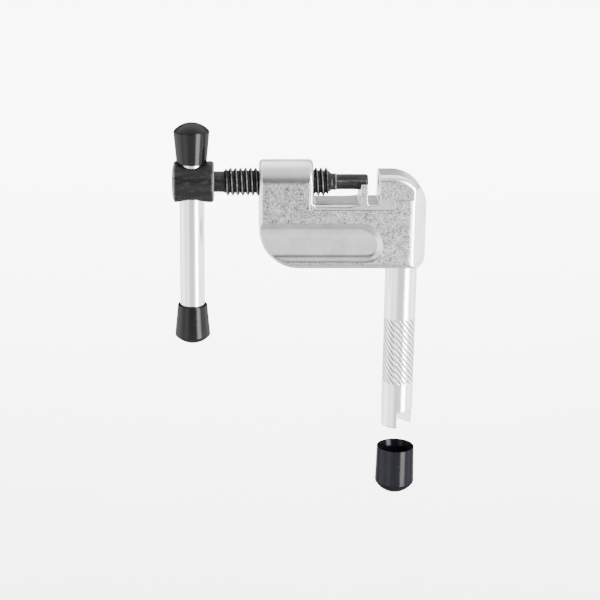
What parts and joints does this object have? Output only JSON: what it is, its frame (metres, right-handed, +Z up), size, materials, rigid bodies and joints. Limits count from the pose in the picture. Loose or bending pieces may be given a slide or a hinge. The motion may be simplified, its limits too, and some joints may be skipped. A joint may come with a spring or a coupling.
{
  "type": "bicycle chain tool",
  "caption": "Screw-type chain tool: forged C frame with chain tab and anvil, driving screw with pin and sliding tommy bar, rod handle with pull-off cap.",
  "frame": {"origin": "where the axis of the driving screw meets the anvil's chain-side face, at the mouth of the rivet hole", "axes": "+X along the screw, from its head towards the anvil; +Y from the front side face to the back one; +Z up, away from the rod handle"},
  "size_m": [0.0718, 0.0126, 0.1112],
  "materials": {
    "forged_steel": "nickel-plated drop forging, fine pebbled faces, smooth rounded edges",
    "plated_steel": "bright satin plating on drawn bar",
    "black_steel": "black oxide with rubbed thread crests",
    "cap_rubber": "smooth glossy black moulded vinyl"
  },
  "bodies": {
    "frame_body": {"body": "forged_steel", "handle_rod": "plated_steel"},
    "pin_body": {"drive_pin": "black_steel"},
    "screw": {"spindle": "black_steel"},
    "sliding_bar": {"tommy_bar": "plated_steel", "tommy_cap_upper": "cap_rubber", "tommy_cap_lower": "cap_rubber"},
    "end_cap": {"handle_cap": "cap_rubber"}
  },
  "joints": [
    {"name": "screw_advance", "type": "slide", "parent": "frame_body", "child": "pin_body", "axis": [1, 0, 0], "range_m": [-0.0156, 0.0074]},
    {"name": "screw_turn", "type": "hinge", "parent": "pin_body", "child": "screw", "pos_m": [0, 0, 0], "axis": [1, 0, 0], "range_deg": [-3960, 1880]},
    {"name": "bar_slide", "type": "slide", "parent": "screw", "child": "sliding_bar", "axis": [0, 0, 1], "range_m": [0, 0.0306]},
    {"name": "cap_seat", "type": "slide", "parent": "frame_body", "child": "end_cap", "axis": [0, 0, 1], "range_m": [0, 0.0172]}
  ],
  "couplings": [
    {"joint": "screw_advance", "follows": "screw_turn", "m_per_rad": 0.00022457}
  ]
}
